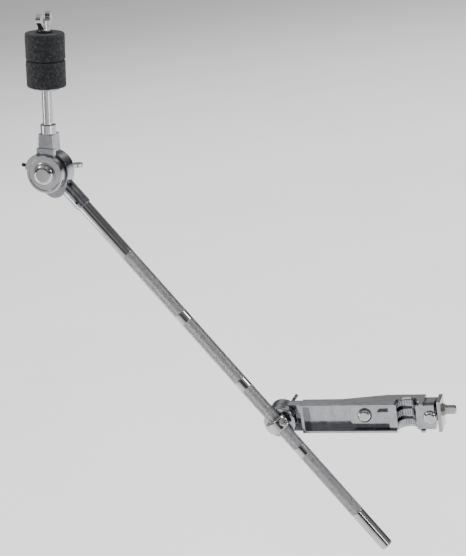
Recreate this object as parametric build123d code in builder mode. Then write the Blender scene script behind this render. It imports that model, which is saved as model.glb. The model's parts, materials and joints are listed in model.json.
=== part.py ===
from build123d import *
import math
import os

os.makedirs("parts", exist_ok=True)

# Cymbal boom arm with a clamp.  Millimetres.  The origin is the centre of the clamp's tube
# seat, +X runs along the clamp arm away from the boom, +Z is up along the clamped tube.

# ---- clamp seat and jaws ----
seat_r = 9.6
jaw_half = 12.2
slot_inner_z = 3.2
slot_outer_z = 7.0
finger_gap = 0.3
fixed_jaw_left = -17.3
fixed_jaw_right = 4.5
fixed_jaw_back = 13.9
fixed_jaw_front = -2.0
flute_r = 0.3
flute_step = 15
slide_jaw_half = 11.9
slide_jaw_right = 26.0
slide_jaw_front = -3.5
slide_jaw_shelf = 8.5
slide_jaw_step_x = 14.0
slide_jaw_back = 13.6
rib_half_z = 13.2
rib_low_y = 1.0
rib_high_y = 4.0

# ---- clamp arm ----
arm_half = 15.0
arm_wall = 2.6
arm_front = -5.5
web_front = 5.5
arm_back = 8.0
channel_left = -101.0
wall_left = 2.5
deepen_left = -62.0
deep_left = -20.0
deep_back = 16.5
deep_wall = 2.5
arm_end = 32.0
plate_inner = 28.6
plate_front = -2.9
wing_cut_left = 16.5
wing_cut_z = 11.5
groove_left = 7.0

# ---- hub where the boom turns ----
hub_x = -121.0
hub_r = 15.5
tube_y = -14.5
saddle_front = tube_y + 2.0
saddle_back = tube_y + 11.0
ring_t = 1.0
boss_front = saddle_back + ring_t
eye_half = 5.6
eye_r = 10.8
eye_bore_r = 6.95
bush_out_r = 6.9
bush_in_r = 6.4
pivot_bolt_r = 4.0
pivot_bolt_end = 27.0

# ---- jaw screw ----
screw_y = 9.5
screw_z = 2.0
screw_r = 3.0
key_side = 6.3
key_end = 44.3

# ---- boom tube ----
boom_angle = 54.8
tube_r = 6.35
tube_wall = 1.5
boom_upper = 275.5
boom_lower = 155.4
end_cap_t = 1.8

# ---- tilter, measured from its pivot along the boom or the rod ----
drum_dist = 320.0
drum_r = 19.5
drum_front = tube_y - 7.6
drum_back = tube_y + 8.0
collar_r = 7.6
collar_end = drum_dist - boom_upper
tube_socket = 20.0
cap_r = 17.9
cap_front = tube_y - 18.0
cap_back = tube_y - 14.3
bracket_front = cap_back + 0.1
bracket_back = drum_front - 1.1
disc_front = drum_front - 1.0
lobe_r = 20.2
tilter_bolt_r = 4.0
tilter_bolt_end = tube_y + 33.0

# ---- cymbal rod, distances along the rod from the tilter pivot ----
rod_tilt = 9.2
rod_y = tube_y - 5.0
block_low = 20.5
block_high = 36.3
block_front = tube_y - 12.5
block_back = tube_y + 3.0
rod_r = 4.7
rod_foot = 25.0
rod_shoulder = 77.5
thread_r = 3.95
rod_top = 140.2
ring_top = 44.5
seat_top = 79.5
felt_r = 18.4
felt_h = 24.6
felt_bore = 6.3
sleeve_r = 5.9
sleeve_bore = 4.0
sleeve_top = 129.4
top_washer_t = 1.4

# ---- directions and reference points ----
boom_rad = math.radians(boom_angle)
along = Vector(math.cos(boom_rad), 0, -math.sin(boom_rad))
across = Vector(math.sin(boom_rad), 0, math.cos(boom_rad))
back = Vector(0, 1, 0)
tilt_rad = math.radians(rod_tilt)
up_rod = Vector(math.sin(tilt_rad), 0, math.cos(tilt_rad))
hub = Vector(hub_x, 0, 0)
drum = hub - along * drum_dist


def facing_back(centre, y, x_dir=Vector(1, 0, 0)):
    """Plane across a Y axis through centre, whose normal points to +Y."""
    return Plane(origin=(centre.X, y, centre.Z), x_dir=x_dir, z_dir=(0, 1, 0))


def on_boom(s):
    """Plane across the boom tube, s along it from the hub towards its lower end."""
    point = hub + along * s + back * tube_y
    return Plane(origin=point, x_dir=(0, 1, 0), z_dir=along)


def on_rod(s):
    """Plane across the cymbal rod, s up it from the tilter pivot."""
    point = drum + up_rod * s + back * rod_y
    return Plane(origin=point, x_dir=(0, 1, 0), z_dir=up_rod)


def radial_screw_plane(s, centre, radius, lean):
    """Plane across a screw that points at the boom's axis, lean degrees round from the front."""
    out = across * math.sin(math.radians(lean)) - back * math.cos(math.radians(lean))
    point = centre + along * s + back * tube_y + out * radius
    return Plane(origin=point, x_dir=along, z_dir=out)


def rod_piece(plane, radius, length, bore=0.0):
    """Plain turned piece on a plane, with an optional bore."""
    with BuildPart() as piece:
        with BuildSketch(plane):
            Circle(radius)
            if bore > 0:
                Circle(bore, mode=Mode.SUBTRACT)
        extrude(amount=length)
    return piece.part


def dome_bolt(plane, head_r, head_h, shank_r, shank_len):
    """Domed bolt: the plane is the seat under its head, and the shank runs along the normal."""
    with BuildPart() as bolt:
        with BuildSketch(plane):
            Circle(head_r)
        extrude(amount=-head_h)
        fillet(bolt.edges().filter_by(GeomType.CIRCLE).sort_by(Axis(plane.origin, plane.z_dir))[0],
               radius=head_h * 0.9)
        with BuildSketch(plane):
            Circle(shank_r)
        extrude(amount=shank_len)
    return bolt.part


def wing_nut(plane, bore_r, hub_low_r, hub_high_r, hub_h, wing_reach, wing_low, wing_high, wing_t):
    """Wing nut standing on the plane, its two wings along the plane's x direction."""
    upright = Plane(origin=plane.origin, x_dir=plane.x_dir, z_dir=-plane.y_dir)
    with BuildPart() as nut:
        with BuildSketch(plane):
            Circle(hub_low_r)
        with BuildSketch(plane.offset(hub_h)):
            Circle(hub_high_r)
        loft()
        with BuildSketch(upright):
            with BuildLine():
                Polyline(
                    (0, hub_h * 0.15),
                    (hub_low_r, hub_h * 0.15),
                    (wing_reach * 0.8, wing_low),
                )
                ThreePointArc(
                    (wing_reach * 0.8, wing_low),
                    (wing_reach, (wing_low + wing_high) / 2),
                    (wing_reach * 0.78, wing_high),
                )
                Spline(
                    (wing_reach * 0.78, wing_high),
                    (hub_high_r + 2.0, hub_h * 0.95),
                    (0, hub_h * 0.9),
                    tangents=[(-1, -0.1), (-1, 0)],
                )
                Line((0, hub_h * 0.9), (0, hub_h * 0.15))
            make_face()
            mirror(about=Plane.YZ)
        extrude(amount=wing_t / 2, both=True)
        with BuildSketch(plane):
            Circle(bore_r)
        extrude(amount=hub_h, mode=Mode.SUBTRACT)
    return nut.part


def finish(part, label):
    """Name a finished piece and write its file."""
    part.label = label
    export_step(part, "parts/" + label + ".step")


# ================= clamp =================

with BuildPart() as clamp_arm:
    # outer channel, which deepens towards the jaws, and the hub boss with its neck
    with BuildSketch(Plane.XY.offset(-arm_half)):
        with BuildLine():
            Polyline(
                (channel_left, arm_front),
                (arm_end, arm_front),
                (arm_end, deep_back),
                (deep_left, deep_back),
                (deepen_left, arm_back),
                (channel_left, arm_back),
                close=True,
            )
        make_face()
    extrude(amount=2 * arm_half)
    fillet(clamp_arm.faces().sort_by(Axis.Z)[0].edges(), radius=1.2)
    fillet(clamp_arm.faces().sort_by(Axis.Z)[-1].edges(), radius=1.2)
    with BuildSketch(facing_back(hub, boss_front)):
        Circle(hub_r)
        with Locations(((channel_left - hub_x) / 2, 0)):
            Rectangle(channel_left - hub_x + 1, 2 * arm_half - 3)
    extrude(amount=arm_back - boss_front)
    # hollow of the channel, of its deeper end, and behind the web where the flanges deepen
    with BuildSketch(Plane.XZ.offset(-deep_back)):
        with Locations(((deepen_left + deep_left) / 2, 0)):
            Rectangle(deep_left - deepen_left, 2 * (arm_half - arm_wall))
    extrude(amount=deep_back - arm_back, mode=Mode.SUBTRACT)
    with BuildSketch(Plane.XZ.offset(-arm_front)):
        with Locations(((channel_left + wall_left + plate_inner) / 2, 0)):
            Rectangle(plate_inner - channel_left - wall_left, 2 * (arm_half - arm_wall))
    extrude(amount=-(web_front - arm_front), mode=Mode.SUBTRACT)
    with BuildSketch(Plane.XZ.offset(-arm_front)):
        with Locations(((deep_left + deep_wall + plate_inner) / 2, 0)):
            Rectangle(plate_inner - deep_left - deep_wall, 2 * (arm_half - arm_wall))
    extrude(amount=-(deep_back - deep_wall - arm_front), mode=Mode.SUBTRACT)
    # dark pocket in the neck beside the hub
    with BuildSketch(facing_back(hub, boss_front)):
        with Locations((hub_r + 1.6, 0)):
            Rectangle(3.6, 11)
    extrude(amount=6.0, mode=Mode.SUBTRACT)
    # passage for the clamped tube, open to the front
    with BuildSketch(Plane.XY.offset(-arm_half)):
        Circle(seat_r + 0.6)
        with Locations((1.2, arm_front / 2)):
            Rectangle(2 * seat_r + 3.6, -arm_front + 0.1)
    extrude(amount=2 * arm_half, mode=Mode.SUBTRACT)
    # the end plate stands back from the front edges
    with BuildSketch(Plane.YZ.offset(plate_inner)):
        with Locations(((arm_front + plate_front) / 2, 0)):
            Rectangle(plate_front - arm_front, 2 * arm_half)
    extrude(amount=arm_end - plate_inner, mode=Mode.SUBTRACT)
    # grooves that guide the sliding jaw's ribs
    with BuildSketch(Plane.XZ.offset(-(rib_low_y - finger_gap))):
        for side in (-1, 1):
            with Locations(((groove_left + plate_inner) / 2, side * (arm_half - arm_wall + 0.6))):
                Rectangle(plate_inner - groove_left, 1.2)
    extrude(amount=-(rib_high_y - rib_low_y + 2 * finger_gap), mode=Mode.SUBTRACT)
    # the flanges stop short of the end plate, so the sliding jaw's top and bottom show
    with BuildSketch(Plane.XZ.offset(-arm_front)):
        for side in (-1, 1):
            with Locations(((wing_cut_left + plate_inner) / 2, side * (wing_cut_z + arm_half) / 2)):
                Rectangle(plate_inner - wing_cut_left, arm_half - wing_cut_z)
    extrude(amount=-(deep_back - arm_front), mode=Mode.SUBTRACT)
    # bores: pivot, fixed jaw bolt and the screw's bush
    with BuildSketch(facing_back(hub, boss_front)):
        Circle(pivot_bolt_r + 0.06)
    extrude(amount=arm_back - boss_front, mode=Mode.SUBTRACT)
    with BuildSketch(facing_back(Vector(-41, 0, 0), web_front)):
        Circle(3.05)
    extrude(amount=arm_back - web_front, mode=Mode.SUBTRACT)
    with BuildSketch(Plane.YZ.offset(plate_inner)):
        with Locations((screw_y, screw_z)):
            Circle(5.0)
    extrude(amount=arm_end - plate_inner, mode=Mode.SUBTRACT)
finish(clamp_arm.part, "clamp_arm")

with BuildPart() as fixed_jaw:
    with BuildSketch(Plane.XY.offset(-jaw_half)):
        with Locations(((fixed_jaw_left + fixed_jaw_right) / 2, (fixed_jaw_front + fixed_jaw_back) / 2)):
            Rectangle(fixed_jaw_right - fixed_jaw_left, fixed_jaw_back - fixed_jaw_front)
        Circle(seat_r, mode=Mode.SUBTRACT)
        with Locations((seat_r, fixed_jaw_front / 2)):
            Rectangle(2 * seat_r, -fixed_jaw_front + 4, mode=Mode.SUBTRACT)
        with PolarLocations(seat_r + 0.1, 9, start_angle=70, angular_range=8 * flute_step):
            Circle(flute_r, mode=Mode.SUBTRACT)
    extrude(amount=2 * jaw_half)
    # gaps between the three ridges
    for side in (-1, 1):
        with BuildSketch(Plane.XY.offset(side * (slot_inner_z + slot_outer_z) / 2)):
            with Locations(((fixed_jaw_right - 13.5) / 2 + 0.5, 6.0)):
                Rectangle(fixed_jaw_right + 14.5, 13.0)
        extrude(amount=(slot_outer_z - slot_inner_z) / 2, both=True, mode=Mode.SUBTRACT)
    # tail plate that bolts to the web, with its raised rib
    with BuildSketch(Plane.XZ.offset(-web_front)):
        with Locations((-35.0, 0)):
            RectangleRounded(40, 19, 4)
    extrude(amount=2.8)
    with BuildSketch(Plane.XZ.offset(-web_front)):
        with Locations((-21.0, 0)):
            RectangleRounded(16, 10, 2.5)
    extrude(amount=7.0)
    with BuildSketch(Plane.XZ.offset(-web_front)):
        with Locations((-41.0, 0)):
            Circle(3.05)
    extrude(amount=2.8, mode=Mode.SUBTRACT)
finish(fixed_jaw.part, "fixed_jaw")

jaw_bolt_at = Vector(-41, 0, 0)
with BuildPart() as fixed_jaw_bolt:
    add(dome_bolt(facing_back(jaw_bolt_at, web_front - 2.8), 6.9, 3.8, 3.0, 13.6))
finish(fixed_jaw_bolt.part, "fixed_jaw_bolt")

with BuildPart() as fixed_jaw_washer:
    add(rod_piece(facing_back(jaw_bolt_at, arm_back), 6.6, 1.2, 3.1))
finish(fixed_jaw_washer.part, "fixed_jaw_washer")

with BuildPart() as fixed_jaw_nut:
    with BuildSketch(facing_back(jaw_bolt_at, arm_back + 1.2)):
        RegularPolygon(5.0, 6, major_radius=False)
        Circle(3.0, mode=Mode.SUBTRACT)
    extrude(amount=5.0)
finish(fixed_jaw_nut.part, "fixed_jaw_nut")

with BuildPart() as sliding_jaw:
    with BuildSketch(Plane.XY.offset(-slide_jaw_half)):
        with Locations(((4.0 + slide_jaw_right) / 2, (slide_jaw_front + slide_jaw_shelf) / 2)):
            Rectangle(slide_jaw_right - 4.0, slide_jaw_shelf - slide_jaw_front)
        with Locations(((slide_jaw_step_x + slide_jaw_right) / 2, slide_jaw_back / 2)):
            Rectangle(slide_jaw_right - slide_jaw_step_x, slide_jaw_back)
        Circle(seat_r, mode=Mode.SUBTRACT)
    extrude(amount=2 * slide_jaw_half)
    # two fingers that pass between the fixed jaw's ridges
    for side in (-1, 1):
        with BuildSketch(Plane.XY.offset(side * (slot_inner_z + slot_outer_z) / 2)):
            with Locations((9.0, 11.05)):
                Rectangle(11.0, 2.3)
        extrude(amount=(slot_outer_z - slot_inner_z) / 2 - finger_gap, both=True)
    # guide ribs
    with BuildSketch(Plane.YZ.offset(slide_jaw_step_x)):
        with Locations(((rib_low_y + rib_high_y) / 2, 0)):
            Rectangle(rib_high_y - rib_low_y, 2 * rib_half_z)
    extrude(amount=slide_jaw_right - slide_jaw_step_x)
    # screw bore, relief for the clip, pocket for the square nut, and the front screw's hole
    with BuildSketch(Plane.YZ.offset(12.0)):
        with Locations((screw_y, screw_z)):
            Circle(screw_r + 0.4)
    extrude(amount=slide_jaw_right - 12.0, mode=Mode.SUBTRACT)
    with BuildSketch(Plane.YZ.offset(slide_jaw_right - 2.6)):
        with Locations((screw_y, screw_z)):
            Circle(5.2)
    extrude(amount=2.6, mode=Mode.SUBTRACT)
    with BuildSketch(Plane.YZ.offset(16.0)):
        with Locations((9.3, screw_z)):
            Rectangle(9.0, 9.0)
    extrude(amount=5.0, mode=Mode.SUBTRACT)
    with BuildSketch(facing_back(Vector(21.6, 0, 0), slide_jaw_front)):
        Circle(2.5)
    extrude(amount=6.0, mode=Mode.SUBTRACT)
finish(sliding_jaw.part, "sliding_jaw")

with BuildPart() as jaw_nut:
    with BuildSketch(Plane.YZ.offset(16.0)):
        with Locations((9.3, screw_z)):
            Rectangle(8.8, 8.8)
        with Locations((screw_y, screw_z)):
            Circle(screw_r + 0.05, mode=Mode.SUBTRACT)
    extrude(amount=5.0)
finish(jaw_nut.part, "jaw_nut")

with BuildPart() as jaw_front_screw:
    add(dome_bolt(facing_back(Vector(21.6, 0, 0), slide_jaw_front), 6.5, 3.4, 2.5, 6.0))
finish(jaw_front_screw.part, "jaw_front_screw")

with BuildPart() as jaw_screw:
    with BuildSketch(Plane.YZ.offset(14.6)):
        with Locations((screw_y, screw_z)):
            Circle(screw_r)
    extrude(amount=33.1 - 14.6)
    with BuildSketch(Plane.YZ.offset(33.1)):
        with Locations((screw_y, screw_z)):
            Circle(5.2)
    extrude(amount=1.5)
    with BuildSketch(Plane.YZ.offset(34.6)):
        with Locations((screw_y, screw_z)):
            Rectangle(key_side, key_side)
    extrude(amount=key_end - 34.6)
    chamfer(jaw_screw.faces().sort_by(Axis.X)[-1].edges(), length=1.2)
finish(jaw_screw.part, "jaw_screw")

with BuildPart() as jaw_screw_clip:
    with BuildSketch(Plane.YZ.offset(27.5)):
        with Locations((screw_y, screw_z)):
            Circle(4.4)
            Circle(screw_r, mode=Mode.SUBTRACT)
    extrude(amount=0.8)
finish(jaw_screw_clip.part, "jaw_screw_clip")

with BuildPart() as screw_bush:
    with BuildSketch(Plane.YZ.offset(plate_inner)):
        with Locations((screw_y, screw_z)):
            Circle(5.0)
            Circle(screw_r + 0.06, mode=Mode.SUBTRACT)
    extrude(amount=arm_end - plate_inner)
    with BuildSketch(Plane.YZ.offset(arm_end)):
        with Locations((screw_y, screw_z)):
            Circle(6.2)
            Circle(screw_r + 0.06, mode=Mode.SUBTRACT)
    extrude(amount=0.9)
finish(screw_bush.part, "screw_bush")

# ================= hub =================

with BuildPart() as tube_saddle:
    with BuildSketch(facing_back(hub, saddle_front, along)):
        Circle(hub_r)
    extrude(amount=saddle_back - saddle_front)
    fillet(tube_saddle.edges().filter_by(GeomType.CIRCLE).sort_by(Axis.Y)[0], radius=1.5)
    with BuildSketch(on_boom(-hub_r - 1)):
        Circle(tube_r + 0.4)
    extrude(amount=2 * hub_r + 2, mode=Mode.SUBTRACT)
    with BuildSketch(facing_back(hub, saddle_front, along)):
        Rectangle(2 * eye_half + 0.4, 2 * eye_r + 1.2)
    extrude(amount=saddle_back - saddle_front, mode=Mode.SUBTRACT)
finish(tube_saddle.part, "tube_saddle")

eye_screw_lean = 50.0
eye_screw_seat = radial_screw_plane(0, hub, eye_r - 0.3, eye_screw_lean)
with BuildPart() as eyebolt:
    with BuildSketch(on_boom(-eye_half)):
        Circle(eye_r)
    extrude(amount=2 * eye_half)
    fillet(eyebolt.edges().filter_by(GeomType.CIRCLE), radius=1.2)
    with BuildSketch(facing_back(hub, tube_y + 9.0)):
        Circle(pivot_bolt_r)
    extrude(amount=pivot_bolt_end - tube_y - 9.0)
    with BuildSketch(on_boom(-eye_half)):
        Circle(eye_bore_r)
    extrude(amount=2 * eye_half, mode=Mode.SUBTRACT)
    with BuildSketch(eye_screw_seat):
        Circle(4.4)
    extrude(amount=2.0, mode=Mode.SUBTRACT)
    with BuildSketch(eye_screw_seat):
        Circle(2.35)
    extrude(amount=-5.0, mode=Mode.SUBTRACT)
finish(eyebolt.part, "eyebolt")

with BuildPart() as eye_bush:
    add(rod_piece(on_boom(-eye_half), bush_out_r, 2 * eye_half, bush_in_r))
finish(eye_bush.part, "eye_bush")

with BuildPart() as eye_screw:
    with BuildSketch(eye_screw_seat.offset(0.3)):
        Circle(4.1)
    extrude(amount=2.6)
    fillet(eye_screw.edges().filter_by(GeomType.CIRCLE)
           .sort_by(Axis(eye_screw_seat.origin, eye_screw_seat.z_dir))[-1], radius=0.9)
    with BuildSketch(eye_screw_seat.offset(-3.3)):
        Circle(2.3)
    extrude(amount=3.6)
    with BuildSketch(eye_screw_seat.offset(2.9)):
        Rectangle(4.4, 1.2)
        Rectangle(1.2, 4.4)
    extrude(amount=-1.6, mode=Mode.SUBTRACT)
finish(eye_screw.part, "eye_screw")

with BuildPart() as pivot_friction_ring:
    add(rod_piece(facing_back(hub, saddle_back), hub_r - 1.0, ring_t, eye_r + 1.0))
finish(pivot_friction_ring.part, "pivot_friction_ring")

with BuildPart() as pivot_washer:
    add(rod_piece(facing_back(hub, arm_back), 8.6, 1.5, pivot_bolt_r + 0.06))
finish(pivot_washer.part, "pivot_washer")

pivot_wing_dir = Vector(math.cos(math.radians(52)), 0, math.sin(math.radians(52)))
with BuildPart() as pivot_wing_nut:
    nut_plane = facing_back(hub, arm_back + 1.5, pivot_wing_dir)
    add(wing_nut(nut_plane, pivot_bolt_r + 0.06, 7.0, 5.6, 9.0, 18.0, 7.0, 15.0, 3.2))
finish(pivot_wing_nut.part, "pivot_wing_nut")

# ================= boom =================

with BuildPart() as boom_tube:
    add(rod_piece(on_boom(-boom_upper - tube_socket), tube_r, boom_upper + tube_socket + boom_lower,
                  tube_r - tube_wall))
    with BuildSketch(facing_back(drum + along * 38.5, tube_y - 9)):
        Circle(1.5)
    extrude(amount=18, mode=Mode.SUBTRACT)
finish(boom_tube.part, "boom_tube")

with BuildPart() as tube_end_cap:
    with BuildSketch(on_boom(boom_lower)):
        Circle(tube_r)
    extrude(amount=end_cap_t)
    fillet(tube_end_cap.edges().filter_by(GeomType.CIRCLE).sort_by(Axis.Z)[0], radius=1.6)
    with BuildSketch(on_boom(boom_lower)):
        Circle(tube_r - tube_wall)
    extrude(amount=-9)
finish(tube_end_cap.part, "tube_end_cap")

# ================= tilter =================

with BuildPart() as tilter_body:
    # drum casting with the fuller lobe below it
    with BuildSketch(facing_back(drum, drum_front)):
        Circle(drum_r)
        with Locations((2.5, 14.5)):
            Circle(11)
        make_hull()
    extrude(amount=drum_back - drum_front)
    fillet(tilter_body.edges().group_by(Axis.Y)[-1], radius=1.5)
    # collar that holds the boom tube
    with BuildSketch(Plane(origin=drum + back * tube_y, x_dir=(0, 1, 0), z_dir=along)):
        Circle(collar_r)
    extrude(amount=collar_end)
    with BuildSketch(on_boom(-boom_upper - tube_socket)):
        Circle(tube_r)
    extrude(amount=tube_socket + 1, mode=Mode.SUBTRACT)
    with BuildSketch(facing_back(drum, drum_front - 2)):
        Circle(tilter_bolt_r)
    extrude(amount=drum_back - drum_front + 4, mode=Mode.SUBTRACT)
    with BuildSketch(facing_back(drum + along * 38.5, tube_y - 9)):
        Circle(1.5)
    extrude(amount=18, mode=Mode.SUBTRACT)
    with BuildSketch(radial_screw_plane(22.0, drum, 4.4, 55)):
        Circle(2.0)
    extrude(amount=20, mode=Mode.SUBTRACT)
finish(tilter_body.part, "tilter_body")

with BuildPart() as collar_pin:
    with BuildSketch(facing_back(drum + along * 38.5, tube_y - 7.8)):
        Circle(1.5)
        Circle(0.8, mode=Mode.SUBTRACT)
    extrude(amount=15.6)
finish(collar_pin.part, "collar_pin")

with BuildPart() as collar_set_screw:
    with BuildSketch(radial_screw_plane(22.0, drum, 4.4, 55)):
        Circle(2.0)
    extrude(amount=4.4)
    with BuildSketch(radial_screw_plane(22.0, drum, 8.8, 55)):
        RegularPolygon(1.1, 6)
    extrude(amount=-1.8, mode=Mode.SUBTRACT)
finish(collar_set_screw.part, "collar_set_screw")

cap_screw_at = drum + Vector(-17.0, (cap_front + cap_back) / 2, 10.5)
with BuildPart() as cap_screw:
    with BuildSketch(Plane(origin=cap_screw_at, x_dir=(0, 1, 0), z_dir=(-1, 0, 0))):
        Circle(1.0)
    extrude(amount=2.6)
    with BuildSketch(Plane(origin=cap_screw_at - Vector(1.9, 0, 0), x_dir=(0, 1, 0), z_dir=(-1, 0, 0))):
        Circle(1.8)
    extrude(amount=2.4)
    chamfer(cap_screw.faces().sort_by(Axis.X)[0].edges(), length=0.4)
finish(cap_screw.part, "cap_screw")

with BuildPart() as friction_disc:
    add(rod_piece(facing_back(drum, disc_front), 16.0, 1.0, tilter_bolt_r))
finish(friction_disc.part, "friction_disc")

with BuildPart() as tilter_cap:
    with BuildSketch(facing_back(drum, cap_front + 0.8)):
        with Locations((-11.0, -12.5)):
            Circle(9.5)
        Circle(lobe_r, mode=Mode.INTERSECT)
        Circle(cap_r)
    extrude(amount=cap_back - cap_front - 0.8)
    extrude(tilter_cap.faces().sort_by(Axis.Y)[0], amount=0.8, taper=35)
    # shallow dish round the bolt's head
    with BuildSketch(facing_back(drum, cap_front)):
        Circle(15.6)
        Circle(10.6, mode=Mode.SUBTRACT)
    extrude(amount=0.9, taper=30, mode=Mode.SUBTRACT)
    with BuildSketch(facing_back(drum, cap_front)):
        Circle(tilter_bolt_r)
    extrude(amount=cap_back - cap_front, mode=Mode.SUBTRACT)
    # hole and seat for the lobe's screw
    with BuildSketch(Plane(origin=cap_screw_at, x_dir=(0, 1, 0), z_dir=(-1, 0, 0))):
        Circle(1.0)
    extrude(amount=4, mode=Mode.SUBTRACT)
    with BuildSketch(Plane(origin=cap_screw_at - Vector(1.9, 0, 0), x_dir=(0, 1, 0), z_dir=(-1, 0, 0))):
        Circle(2.2)
    extrude(amount=4, mode=Mode.SUBTRACT)
finish(tilter_cap.part, "tilter_cap")

with BuildPart() as tilter_bolt:
    add(dome_bolt(facing_back(drum, cap_front), 9.8, 4.2, tilter_bolt_r, tilter_bolt_end - cap_front))
finish(tilter_bolt.part, "tilter_bolt")

with BuildPart() as tilter_washer:
    add(rod_piece(facing_back(drum, drum_back), 9.6, 1.5, tilter_bolt_r + 0.06))
finish(tilter_washer.part, "tilter_washer")

tilter_wing_dir = Vector(math.cos(math.radians(-8)), 0, math.sin(math.radians(-8)))
with BuildPart() as tilter_wing_nut:
    nut_plane = facing_back(drum, drum_back + 1.5, tilter_wing_dir)
    add(wing_nut(nut_plane, tilter_bolt_r + 0.06, 8.0, 6.2, 10.0, 21.0, 9.0, 17.5, 3.4))
finish(tilter_wing_nut.part, "tilter_wing_nut")

# ================= rod and felts =================

with BuildPart() as rod_bracket:
    # block that holds the rod, a little wider at its foot
    with BuildSketch(facing_back(drum, block_front, up_rod)):
        with BuildLine():
            Polyline(
                (block_low, -8.2),
                (block_low, 8.2),
                (block_high, 7.2),
                (block_high, -7.2),
                close=True,
            )
        make_face()
    extrude(amount=block_back - block_front)
    fillet(rod_bracket.edges().filter_by(lambda e: abs(e.tangent_at(0.5).dot(up_rod)) > 0.98), radius=1.2)
    # strap and disc that turn on the pivot bolt
    with BuildSketch(facing_back(drum, bracket_front, up_rod)):
        Circle(cap_r - 0.4)
        with Locations((block_low / 2 + 1.5, 0)):
            Rectangle(block_low + 3, 17)
    extrude(amount=bracket_back - bracket_front)
    with BuildSketch(on_rod(rod_foot)):
        Circle(rod_r)
    extrude(amount=block_high - rod_foot + 1, mode=Mode.SUBTRACT)
    with BuildSketch(facing_back(drum, bracket_front)):
        Circle(tilter_bolt_r + 0.06)
    extrude(amount=bracket_back - bracket_front, mode=Mode.SUBTRACT)
finish(rod_bracket.part, "rod_bracket")

with BuildPart() as cymbal_rod:
    with BuildSketch(on_rod(rod_foot)):
        Circle(rod_r)
    extrude(amount=rod_shoulder - rod_foot)
    with BuildSketch(on_rod(rod_shoulder)):
        Circle(thread_r)
    extrude(amount=rod_top - rod_shoulder)
    chamfer(cymbal_rod.edges().filter_by(GeomType.CIRCLE).sort_by(Axis.Z)[-1], length=0.9)
finish(cymbal_rod.part, "cymbal_rod")

with BuildPart() as rod_collar:
    add(rod_piece(on_rod(block_high), 7.2, ring_top - block_high, rod_r))
    fillet(rod_collar.edges().filter_by(GeomType.CIRCLE).sort_by(Axis.Z)[-1], radius=0.8)
finish(rod_collar.part, "rod_collar")

with BuildPart() as felt_seat_washer:
    add(rod_piece(on_rod(rod_shoulder), 12.5, seat_top - rod_shoulder, thread_r))
    fillet(felt_seat_washer.edges().filter_by(GeomType.CIRCLE).sort_by(Axis.Z)[0], radius=0.8)
finish(felt_seat_washer.part, "felt_seat_washer")

with BuildPart() as nylon_sleeve:
    add(rod_piece(on_rod(seat_top), sleeve_r, sleeve_top - seat_top, sleeve_bore))
finish(nylon_sleeve.part, "nylon_sleeve")

with BuildPart() as lower_felt:
    add(rod_piece(on_rod(seat_top + 0.1), felt_r, felt_h, felt_bore))
finish(lower_felt.part, "lower_felt")

with BuildPart() as upper_felt:
    add(rod_piece(on_rod(seat_top + 0.3 + felt_h), felt_r, felt_h, felt_bore))
finish(upper_felt.part, "upper_felt")

with BuildPart() as top_washer:
    add(rod_piece(on_rod(sleeve_top), 7.4, top_washer_t, thread_r + 0.06))
finish(top_washer.part, "top_washer")

with BuildPart() as top_wing_nut:
    nut_origin = drum + up_rod * (sleeve_top + top_washer_t) + back * rod_y
    nut_plane = Plane(origin=nut_origin, x_dir=back, z_dir=up_rod)
    add(wing_nut(nut_plane, thread_r + 0.06, 5.8, 5.2, 9.0, 12.5, 6.0, 15.8, 4.8))
finish(top_wing_nut.part, "top_wing_nut")
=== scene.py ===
import bpy
import json
import math
from mathutils import Matrix, Vector, noise


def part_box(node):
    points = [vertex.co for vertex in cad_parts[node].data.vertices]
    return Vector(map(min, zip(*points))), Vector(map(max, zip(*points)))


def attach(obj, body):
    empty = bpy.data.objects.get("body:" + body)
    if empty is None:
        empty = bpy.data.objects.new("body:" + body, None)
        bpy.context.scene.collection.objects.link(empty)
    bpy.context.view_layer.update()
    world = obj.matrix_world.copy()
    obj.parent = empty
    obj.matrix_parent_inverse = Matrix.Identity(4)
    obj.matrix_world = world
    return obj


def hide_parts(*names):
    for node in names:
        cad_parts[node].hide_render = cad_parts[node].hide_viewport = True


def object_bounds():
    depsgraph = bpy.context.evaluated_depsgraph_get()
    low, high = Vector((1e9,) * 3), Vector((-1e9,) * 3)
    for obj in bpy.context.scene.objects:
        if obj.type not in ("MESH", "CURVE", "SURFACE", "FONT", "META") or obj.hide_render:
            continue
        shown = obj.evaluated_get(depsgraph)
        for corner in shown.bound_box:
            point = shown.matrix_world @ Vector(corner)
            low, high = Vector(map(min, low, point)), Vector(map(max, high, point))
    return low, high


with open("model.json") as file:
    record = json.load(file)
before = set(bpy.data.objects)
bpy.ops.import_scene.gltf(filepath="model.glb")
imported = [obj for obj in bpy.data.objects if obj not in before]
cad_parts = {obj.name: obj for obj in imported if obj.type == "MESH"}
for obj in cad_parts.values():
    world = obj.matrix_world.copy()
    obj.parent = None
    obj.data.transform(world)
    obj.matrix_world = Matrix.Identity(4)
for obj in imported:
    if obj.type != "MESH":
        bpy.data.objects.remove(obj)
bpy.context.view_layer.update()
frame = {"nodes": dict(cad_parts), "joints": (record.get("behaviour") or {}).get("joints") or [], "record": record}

# ---- places, read from the frame (metres) ----

JOINT = {j["name"]: j for j in frame["joints"]}
HUB = Vector(JOINT["boom_slide"]["pos_m"])
ALONG = Vector(JOINT["boom_slide"]["axis"]).normalized()
DRUM = Vector(JOINT["rod_tilt"]["pos_m"])
UP_ROD = Vector(JOINT["top_nut_travel"]["axis"]).normalized()
BACK = Vector((0, 1, 0))
MM = 0.001


def middle(node):
    """Centre of a node's box at rest."""
    low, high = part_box(node)
    return (low + high) / 2


# ---- mesh helpers ----

TOO_SHORT = 0.1                  # for what is left of +Y to give a direction


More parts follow.
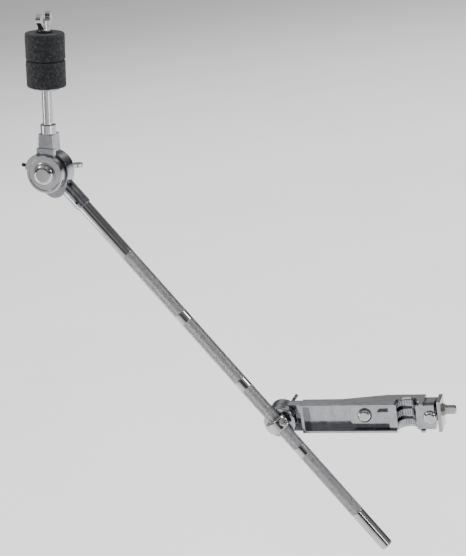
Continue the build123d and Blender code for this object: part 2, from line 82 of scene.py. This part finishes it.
def axes_for(direction):
    """Two unit vectors across a direction, then its own; the first is nearest to +Y."""
    w = direction.normalized()
    first = BACK - w * BACK.dot(w)
    if first.length < TOO_SHORT:
        first = Vector((1, 0, 0))
    u = first.normalized()
    return u, w.cross(u), w


def spoke(u, v, k, sides):
    """Unit vector from the axis to point k of a ring."""
    angle = math.tau * k / sides
    return u * math.cos(angle) + v * math.sin(angle)


def ring_faces(rings, sides, closed=False):
    """Quads that join one ring to the next, and the last to the first if closed."""
    faces = []
    last = rings if closed else rings - 1
    for r in range(last):
        here = r * sides
        there = ((r + 1) % rings) * sides
        for k in range(sides):
            n = (k + 1) % sides
            faces.append((here + k, here + n, there + n, there + k))
    return faces


def build(name, verts, faces, material, smooth=True):
    """New mesh object from points and faces."""
    mesh = bpy.data.meshes.new(name)
    mesh.from_pydata([tuple(v) for v in verts], [], faces)
    mesh.validate()
    mesh.update()
    for poly in mesh.polygons:
        poly.use_smooth = smooth
    mesh.materials.append(material)
    piece = bpy.data.objects.new(name, mesh)
    bpy.context.scene.collection.objects.link(piece)
    return piece


# ---- node materials ----

NOISE_LOW = 0.3                  # most of a noise lies between these
NOISE_HIGH = 0.7
FIBRE_SHARE = 0.75               # of the fibres in the felt's colour; the rest is patches


class Paint:
    """A principled material with short calls for the nodes that feed it."""

    def __init__(self, name, **sockets):
        self.material = bpy.data.materials.new(name)
        self.material.use_nodes = True
        self.tree = self.material.node_tree
        self.shader = self.tree.nodes["Principled BSDF"]
        self.coords = self.tree.nodes.new("ShaderNodeTexCoord")
        for socket, value in sockets.items():
            self.shader.inputs[socket.replace("_", " ")].default_value = value

    def node(self, kind, **settings):
        """New node with its settings."""
        made = self.tree.nodes.new(kind)
        for key, value in settings.items():
            setattr(made, key, value)
        return made

    def link(self, source, target):
        """Link one socket to another."""
        self.tree.links.new(source, target)

    def noise(self, scale, detail, rough, stretch=(1, 1, 1)):
        """Noise in the object's own metres; its mean is near 0.5."""
        mapping = self.node("ShaderNodeMapping")
        mapping.inputs["Scale"].default_value = stretch
        self.link(self.coords.outputs["Object"], mapping.inputs["Vector"])
        made = self.node("ShaderNodeTexNoise")
        made.inputs["Scale"].default_value = scale
        made.inputs["Detail"].default_value = detail
        made.inputs["Roughness"].default_value = rough
        self.link(mapping.outputs["Vector"], made.inputs["Vector"])
        return made.outputs["Fac"]

    def spread(self, source, low, high):
        """A noise's usual range becomes low to high."""
        made = self.node("ShaderNodeMapRange")
        made.inputs["From Min"].default_value = NOISE_LOW
        made.inputs["From Max"].default_value = NOISE_HIGH
        made.inputs["To Min"].default_value = low
        made.inputs["To Max"].default_value = high
        self.link(source, made.inputs["Value"])
        return made.outputs["Result"]

    def colour(self, source, *stops):
        """Base colour from a ramp of (place, colour) stops."""
        made = self.node("ShaderNodeValToRGB")
        elements = made.color_ramp.elements
        while len(elements) < len(stops):
            elements.new(0.5)
        for element, (place, colour) in zip(elements, stops):
            element.position = place
            element.color = (*colour, 1)
        self.link(source, made.inputs["Fac"])
        self.link(made.outputs["Color"], self.shader.inputs["Base Color"])

    def roughness(self, source, low, high):
        """Roughness that runs from low to high with the source."""
        self.link(self.spread(source, low, high), self.shader.inputs["Roughness"])

    def bump(self, source, strength, depth, edge=0.0):
        """Bump from a height, over edges rounded by edge metres."""
        made = self.node("ShaderNodeBump")
        made.inputs["Strength"].default_value = strength
        made.inputs["Distance"].default_value = depth
        self.link(source, made.inputs["Height"])
        if edge > 0:
            soft = self.node("ShaderNodeBevel", samples=4)
            soft.inputs["Radius"].default_value = edge
            self.link(soft.outputs["Normal"], made.inputs["Normal"])
        self.link(made.outputs["Normal"], self.shader.inputs["Normal"])


def polished_chrome():
    """Bright plating with faint handling marks."""
    p = Paint("polished_chrome", Metallic=1.0)
    smudge = p.noise(scale=70, detail=6, rough=0.6)
    fine = p.noise(scale=900, detail=3, rough=0.5)
    p.colour(smudge, (0.3, (0.40, 0.40, 0.41)), (0.7, (0.50, 0.50, 0.51)))
    p.roughness(smudge, low=0.04, high=0.12)
    p.bump(fine, strength=0.10, depth=0.06 * MM, edge=0.4 * MM)
    return p.material


def cast_chrome():
    """Plating over a polished die casting: soft waves, and a cloudy gloss."""
    p = Paint("cast_chrome", Metallic=1.0)
    wave = p.noise(scale=55, detail=3, rough=0.5, stretch=(0.6, 1, 1))
    cloud = p.noise(scale=160, detail=6, rough=0.65)
    p.colour(cloud, (0.25, (0.26, 0.265, 0.285)), (0.7, (0.42, 0.425, 0.45)))
    p.roughness(cloud, low=0.09, high=0.24)
    p.bump(wave, strength=0.45, depth=0.9 * MM, edge=0.6 * MM)
    return p.material


def knurled_chrome():
    """Plated knurling, duller in patches and finely grained."""
    p = Paint("knurled_chrome", Metallic=1.0)
    grime = p.noise(scale=300, detail=5, rough=0.6)
    grain = p.noise(scale=2500, detail=2, rough=0.5)
    p.colour(grime, (0.3, (0.27, 0.27, 0.28)), (0.7, (0.40, 0.40, 0.41)))
    p.roughness(grime, low=0.24, high=0.42)
    p.bump(grain, strength=0.2, depth=0.04 * MM)
    return p.material


def zinc_steel():
    """Turned steel with bright zinc, and fine tool lines."""
    p = Paint("zinc_steel", Metallic=1.0)
    cloud = p.noise(scale=240, detail=5, rough=0.6)
    lines = p.noise(scale=1800, detail=2, rough=0.5, stretch=(1, 0.15, 0.15))
    p.colour(cloud, (0.3, (0.30, 0.30, 0.29)), (0.7, (0.42, 0.42, 0.41)))
    p.roughness(cloud, low=0.22, high=0.40)
    p.bump(lines, strength=0.25, depth=0.08 * MM, edge=0.3 * MM)
    return p.material


def black_steel():
    """Black oxide, worn a little lighter in patches."""
    p = Paint("black_steel", Metallic=0.7)
    wear = p.noise(scale=500, detail=5, rough=0.6)
    p.colour(wear, (0.45, (0.018, 0.018, 0.019)), (0.8, (0.09, 0.09, 0.09)))
    p.roughness(wear, low=0.35, high=0.55)
    p.bump(wear, strength=0.2, depth=0.06 * MM, edge=0.2 * MM)
    return p.material


def black_nylon():
    """Moulded nylon with a fine matte grain."""
    p = Paint("black_nylon")
    grain = p.noise(scale=1500, detail=4, rough=0.6)
    p.colour(grain, (0.3, (0.012, 0.012, 0.012)), (0.7, (0.03, 0.03, 0.03)))
    p.roughness(grain, low=0.42, high=0.6)
    p.bump(grain, strength=0.25, depth=0.06 * MM, edge=0.3 * MM)
    return p.material


def friction_fibre():
    """Pressed fibre sheet with flecks."""
    p = Paint("friction_fibre")
    fleck = p.noise(scale=900, detail=5, rough=0.7, stretch=(1, 1, 3))
    p.colour(fleck, (0.35, (0.05, 0.045, 0.04)), (0.7, (0.17, 0.14, 0.11)))
    p.roughness(fleck, low=0.7, high=0.95)
    p.bump(fleck, strength=0.5, depth=0.1 * MM)
    return p.material


def grey_felt():
    """Pressed charcoal wool: a dark ground with lighter fibres and patches."""
    p = Paint("grey_felt", Sheen_Weight=0.08, Sheen_Roughness=0.6, Specular_IOR_Level=0.2)
    fibre = p.noise(scale=1500, detail=8, rough=0.8, stretch=(1, 1, 2.2))
    patch = p.noise(scale=420, detail=5, rough=0.65)
    mix = p.node("ShaderNodeMath", operation="MULTIPLY_ADD")
    p.link(fibre, mix.inputs[0])
    mix.inputs[1].default_value = FIBRE_SHARE
    p.link(p.spread(patch, low=0.04, high=0.20), mix.inputs[2])
    p.colour(
        mix.outputs["Value"],
        (0.40, (0.006, 0.006, 0.007)),
        (0.52, (0.018, 0.019, 0.021)),
        (0.66, (0.105, 0.109, 0.115)),
    )
    p.roughness(fibre, low=0.85, high=1.0)
    p.bump(fibre, strength=0.9, depth=0.5 * MM)
    return p.material


MATERIAL = {
    "polished_chrome": polished_chrome(),
    "cast_chrome": cast_chrome(),
    "zinc_steel": zinc_steel(),
    "black_steel": black_steel(),
    "black_nylon": black_nylon(),
    "friction_fibre": friction_fibre(),
    "grey_felt": grey_felt(),
}
KNURL = knurled_chrome()

for row in frame["record"]["subparts"]:
    mesh = frame["nodes"][row["node"]].data
    mesh.materials.clear()
    mesh.materials.append(MATERIAL[row["material_slot"]])


# ---- boom tube with its knurled bands; places are distances from the hub along the boom ----

TUBE_R = 6.35 * MM
TUBE_WALL = 1.5 * MM
TUBE_TOP = -295.5 * MM           # inside the collar
COLLAR_END = -275.5 * MM
TUBE_FOOT = 155.4 * MM
END_RING = 0.2 * MM              # keeps the shading of an end off the long runs
BAND_COUNT = 4
BAND_FIRST = 60.5 * MM           # from the collar's end to the first band
BAND_PITCH = 84.5 * MM
BAND_LENGTH = 75.0 * MM
BAND_EDGE = 0.3 * MM             # plain ring beside each end of a band
KNURL_SIDES = 60
KNURL_STEP = 0.72 * MM
KNURL_DEPTH = 0.24 * MM
KNURL_FADE = 2                   # rows over which the diamonds deepen


def boom_tube():
    """Tube skin in one mesh: smooth runs, and bands of raised diamonds."""
    sides = KNURL_SIDES
    u, v, w = axes_for(ALONG)
    verts, faces, knurled = [], [], []

    def ring(distance, radius_of):
        """Ring of points whose radius depends on the point's number."""
        start = len(verts)
        for k in range(sides):
            verts.append(HUB + w * distance + spoke(u, v, k, sides) * radius_of(k))
        return start

    def plain(k):
        return TUBE_R

    def inner(k):
        return TUBE_R - TUBE_WALL

    def join(a, b):
        """Smooth quads from ring a to ring b, which is returned."""
        for k in range(sides):
            n = (k + 1) % sides
            faces.append((a + k, a + n, b + n, b + k))
            knurled.append(0)
        return b

    def join_knurl(a, b, row):
        """Triangles from ring a to ring b, folded between the low corners of a diamond."""
        for k in range(sides):
            n = (k + 1) % sides
            if (k + row) % 2 == 0:
                faces.append((a + k, a + n, b + k))
                faces.append((a + n, b + n, b + k))
            else:
                faces.append((a + k, a + n, b + n))
                faces.append((a + k, b + n, b + k))
            knurled.extend((1, 1))
        return b

    def knurl_ring(begin, row, rows):
        """Ring of peaks and valleys by turns, shallow at a band's ends."""
        fade = min(1.0, row / KNURL_FADE, (rows - row) / KNURL_FADE)
        low = TUBE_R - KNURL_DEPTH * fade
        return ring(begin + row * KNURL_STEP, lambda k: TUBE_R if (k + row) % 2 == 0 else low)

    top_inner = ring(TUBE_TOP, inner)
    here = join(top_inner, ring(TUBE_TOP, plain))
    here = join(here, ring(TUBE_TOP + END_RING, plain))
    rows = int(BAND_LENGTH / KNURL_STEP)
    for band in range(BAND_COUNT):
        begin = COLLAR_END + BAND_FIRST + band * BAND_PITCH
        here = join(here, ring(begin - BAND_EDGE, plain))
        here = join(here, knurl_ring(begin, 0, rows))
        for row in range(1, rows + 1):
            here = join_knurl(here, knurl_ring(begin, row, rows), row - 1)
        here = join(here, ring(begin + rows * KNURL_STEP + BAND_EDGE, plain))
    here = join(here, ring(TUBE_FOOT - END_RING, plain))
    here = join(here, ring(TUBE_FOOT, plain))
    here = join(here, ring(TUBE_FOOT, inner))
    join(here, top_inner)

    piece = build("boom_tube_skin", verts, faces, MATERIAL["polished_chrome"])
    piece.data.materials.append(KNURL)
    for poly, is_knurl in zip(piece.data.polygons, knurled):
        poly.material_index = is_knurl
        poly.use_smooth = not is_knurl
    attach(piece, "boom")
    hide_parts("boom_tube")


# ---- felts ----

FELT_SIDES = 220
FELT_R = 17.8 * MM
FELT_BORE = 6.3 * MM
FELT_HEIGHT = 24.1 * MM
FELT_ROUND = 1.6 * MM            # radius of the rims
FELT_FACE_STEPS = 9
FELT_CORNER_STEPS = 6
FELT_FLANK_STEPS = 64
FELT_BORE_STEPS = 8
FELT_NOISE = ((90, 0.30 * MM), (420, 0.16 * MM), (1500, 0.20 * MM))    # scale, push
FELT_FREE = 6 * MM               # from the bore to where the skin has its full roughness
FACE_PUSH = 0.35                 # of the flank's push outwards, on the end faces
END_LIFT = 0.3                   # of the push, along the rod


def felt_outline():
    """Closed section of a felt as (distance along the rod, radius)."""
    flat = FELT_R - FELT_ROUND
    outline = []
    for step in range(1, FELT_FACE_STEPS):
        outline.append((0.0, FELT_BORE + (flat - FELT_BORE) * step / FELT_FACE_STEPS))
    for step in range(FELT_CORNER_STEPS + 1):
        a = math.pi / 2 * step / FELT_CORNER_STEPS
        outline.append((FELT_ROUND * (1 - math.cos(a)), flat + FELT_ROUND * math.sin(a)))
    for step in range(1, FELT_FLANK_STEPS):
        run = (FELT_HEIGHT - 2 * FELT_ROUND) * step / FELT_FLANK_STEPS
        outline.append((FELT_ROUND + run, FELT_R))
    for step in range(FELT_CORNER_STEPS + 1):
        a = math.pi / 2 * step / FELT_CORNER_STEPS
        distance = FELT_HEIGHT - FELT_ROUND * (1 - math.sin(a))
        outline.append((distance, flat + FELT_ROUND * math.cos(a)))
    for step in range(1, FELT_FACE_STEPS):
        outline.append((FELT_HEIGHT, flat - (flat - FELT_BORE) * step / FELT_FACE_STEPS))
    outline.append((FELT_HEIGHT, FELT_BORE))
    for step in range(1, FELT_BORE_STEPS):
        outline.append((FELT_HEIGHT * (1 - step / FELT_BORE_STEPS), FELT_BORE))
    outline.append((0.0, FELT_BORE))
    return outline


def felt(name, node, seed):
    """Pressed felt ring: rounded rims, uneven flanks and a coarse fibrous skin."""
    base = middle(node) - UP_ROD * (FELT_HEIGHT / 2)
    outline = felt_outline()
    u, v, w = axes_for(UP_ROD)
    offset = Vector((seed, seed * 0.37, seed * 0.71))
    verts = []
    for distance, radius in outline:
        free = min(1.0, max(0.0, (radius - FELT_BORE) / FELT_FREE))
        outwards = 1.0 if radius > FELT_R - FELT_ROUND else FACE_PUSH
        upwards = END_LIFT if distance > FELT_HEIGHT / 2 else -END_LIFT
        for k in range(FELT_SIDES):
            out = spoke(u, v, k, FELT_SIDES)
            point = base + w * distance + out * radius
            push = free * sum(
                amount * noise.noise(point * scale + offset) for scale, amount in FELT_NOISE
            )
            verts.append(point + out * push * outwards + w * push * upwards)
    faces = ring_faces(len(outline), FELT_SIDES, closed=True)
    piece = build(name, verts, [tuple(reversed(f)) for f in faces], MATERIAL["grey_felt"])
    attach(piece, "rod")
    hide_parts(node)


# ---- threads that show, on shanks that are plain in the CAD ----

THREAD_SIDES = 24
THREAD_STEPS = 4                 # rings to a turn
THREAD_PITCH = 1.25 * MM
THREAD_DEPTH = 0.28 * MM
THREAD_LEAD = 0.6 * THREAD_PITCH    # over which each end of the thread fades
THREAD_SHORT = 0.2 * MM          # from the thread's end to the shank's
SHANK_R = 4.0 * MM
SHANK_GAP = 0.01 * MM            # the thread's root stands this far off the shank
SLEEVE_INSET = 0.4 * MM          # the sleeve's inside is this far inside the shank


def thread(name, node, body, centre, length):
    """Helical thread as a sleeve round the back end of a node's shank."""
    back_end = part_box(node)[1].y
    base = Vector((centre.x, back_end - THREAD_SHORT - length, centre.z))
    u, v, w = axes_for(BACK)
    sides = THREAD_SIDES
    rows = int(length / THREAD_PITCH * THREAD_STEPS) + 1
    verts = []
    for row in range(rows + 1):
        distance = length * row / rows
        end = min(1.0, distance / THREAD_LEAD, (length - distance) / THREAD_LEAD)
        for k in range(sides):
            phase = (distance / THREAD_PITCH - k / sides) % 1.0
            crest = 1 - abs(2 * phase - 1)
            radius = SHANK_R + THREAD_DEPTH * crest * end + SHANK_GAP
            verts.append(base + w * distance + spoke(u, v, k, sides) * radius)
    inner = len(verts)
    for distance in (0.0, length):
        for k in range(sides):
            radius = SHANK_R - SLEEVE_INSET
            verts.append(base + w * distance + spoke(u, v, k, sides) * radius)
    top = rows * sides
    inner_top = inner + sides
    faces = ring_faces(rows + 1, sides)
    for k in range(sides):
        n = (k + 1) % sides
        faces.append((k, inner + k, inner + n, n))
        faces.append((top + k, top + n, inner_top + n, inner_top + k))
        faces.append((inner + k, inner_top + k, inner_top + n, inner + n))
    piece = build(name, verts, faces, MATERIAL["polished_chrome"], smooth=False)
    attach(piece, body)


boom_tube()
felt("lower_felt_wool", "lower_felt", seed=3.1)
felt("upper_felt_wool", "upper_felt", seed=8.7)
thread("tilter_bolt_thread", "tilter_bolt", "boom", DRUM, 10.3 * MM)
thread("eyebolt_thread", "eyebolt", "pivot", HUB, 5.6 * MM)


# ---- camera ----

AZIMUTH = math.radians(17)       # of the view in which the rod is upright
ELEVATION = math.radians(20)
ARM_TILT = math.radians(8.65)    # how far the clamp arm is turned up in that view
DISTANCE = 1.2
AIM = Vector((-0.1443, -0.0145, 0.1472))
SENSOR_MM = 36
LENS_MM = 84.43165
CLIP_END = 50


def make_camera():
    """Camera at the reference viewing angle."""
    a, e = AZIMUTH, ELEVATION
    away = Vector((math.sin(a) * math.cos(e), -math.cos(a) * math.cos(e), math.sin(e)))
    right = Vector((math.cos(a), math.sin(a), 0))
    turn = Matrix.Rotation(ARM_TILT, 3, "Y")
    away, right = turn @ away, turn @ right
    up = away.cross(right)
    data = bpy.data.cameras.new("view")
    data.sensor_width = SENSOR_MM
    data.lens = LENS_MM
    data.clip_end = CLIP_END
    camera = bpy.data.objects.new("view", data)
    bpy.context.scene.collection.objects.link(camera)
    pose = Matrix((right, up, away)).transposed().to_4x4()
    pose.translation = AIM + away * DISTANCE
    camera.matrix_world = pose
    bpy.context.scene.camera = camera


# ---- studio ----

FLOOR_DROP = 0.45                # below the object
FLOOR_HALF = 40.0
WASH_Y = 1.6
WASH_Z = 4.0
WASH_LEAN = 0.001                # a straight drop would leave the lamp's turn open
ROOM_STRENGTH = 0.85
ROOM_HEIGHT = (                  # (place from nadir to zenith, grey)
    (0.0, 0.5), (0.50, 0.07), (0.57, 0.20), (0.66, 0.42),
    (0.72, 1.1), (0.78, 0.30), (0.88, 1.2), (1.0, 1.0),
)
ROOM_ACROSS = (                  # (place from -X to +X, grey)
    (0.0, 1.0), (0.16, 0.35), (0.34, 1.0), (0.52, 0.3),
    (0.62, 1.1), (0.80, 0.25), (1.0, 0.9),
)


def area_light(name, place, target, size, watts, mirrored=True, height=0.0):
    """Soft light aimed at a point; one that isn't mirrored lights only what is matte."""
    data = bpy.data.lights.new(name, "AREA")
    data.size = size
    if height > 0:
        data.shape = "RECTANGLE"
        data.size_y = height
    data.energy = watts
    lamp = bpy.data.objects.new(name, data)
    place = Vector(place)
    lamp.location = place
    lamp.rotation_euler = (target - place).to_track_quat("-Z", "Y").to_euler()
    lamp.visible_glossy = mirrored
    lamp.visible_camera = False
    bpy.context.scene.collection.objects.link(lamp)


def make_floor(level):
    """Pale floor, well below the object."""
    paint = Paint("pale_floor", Roughness=0.95)
    tone = paint.noise(scale=3, detail=2, rough=0.5)
    paint.colour(tone, (0.3, (0.93, 0.93, 0.93)), (0.7, (0.96, 0.96, 0.96)))
    half = FLOOR_HALF
    corners = [(-half, -half, level), (half, -half, level),
               (half, half, level), (-half, half, level)]
    floor = build("floor", corners, [(0, 1, 2, 3)], paint.material, smooth=False)


def make_lights(level):
    """An even wash over the floor, two soft lamps, and two strips for streaks on the chrome."""
    area_light("wash", (0, WASH_Y, WASH_Z), Vector((0, WASH_Y + WASH_LEAN, level)),
               size=8.0, watts=520, mirrored=False)
    area_light("key", (-1.3, -0.6, 1.4), AIM, size=0.5, watts=9)
    area_light("rim", (1.5, 0.3, 1.0), AIM, size=0.5, watts=8)
    area_light("left_strip", (-1.25, -0.55, -0.05), AIM, size=0.16, watts=3.5, height=0.7)
    area_light("right_strip", (1.05, -0.75, -0.05), AIM, size=0.12, watts=2.5, height=0.7)


def make_room():
    """World light: a bright ceiling, and darker walls with brighter stretches like windows."""
    world = bpy.data.worlds.new("room")
    bpy.context.scene.world = world
    world.use_nodes = True
    nodes, links = world.node_tree.nodes, world.node_tree.links
    nodes.clear()

    def curve(source, stops):
        """Greys along one coordinate of the view direction, which runs from -1 to 1."""
        spread = nodes.new("ShaderNodeMapRange")
        spread.inputs["From Min"].default_value = -1
        links.new(source, spread.inputs["Value"])
        ramp = nodes.new("ShaderNodeValToRGB")
        elements = ramp.color_ramp.elements
        while len(elements) < len(stops):
            elements.new(0.5)
        for element, (place, grey) in zip(elements, stops):
            element.position = place
            element.color = (grey, grey, grey, 1)
        links.new(spread.outputs["Result"], ramp.inputs["Fac"])
        return ramp.outputs["Color"]

    coords = nodes.new("ShaderNodeTexCoord")
    split = nodes.new("ShaderNodeSeparateXYZ")
    links.new(coords.outputs["Generated"], split.inputs["Vector"])
    both = nodes.new("ShaderNodeMix")
    both.data_type = "RGBA"
    both.blend_type = "MULTIPLY"
    both.inputs["Factor"].default_value = 1.0
    links.new(curve(split.outputs["Z"], ROOM_HEIGHT), both.inputs["A"])
    links.new(curve(split.outputs["X"], ROOM_ACROSS), both.inputs["B"])
    room = nodes.new("ShaderNodeBackground")
    links.new(both.outputs["Result"], room.inputs["Color"])
    room.inputs["Strength"].default_value = ROOM_STRENGTH
    out = nodes.new("ShaderNodeOutputWorld")
    links.new(room.outputs["Background"], out.inputs["Surface"])


make_camera()
floor_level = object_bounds()[0].z - FLOOR_DROP
make_floor(floor_level)
make_lights(floor_level)
make_room()
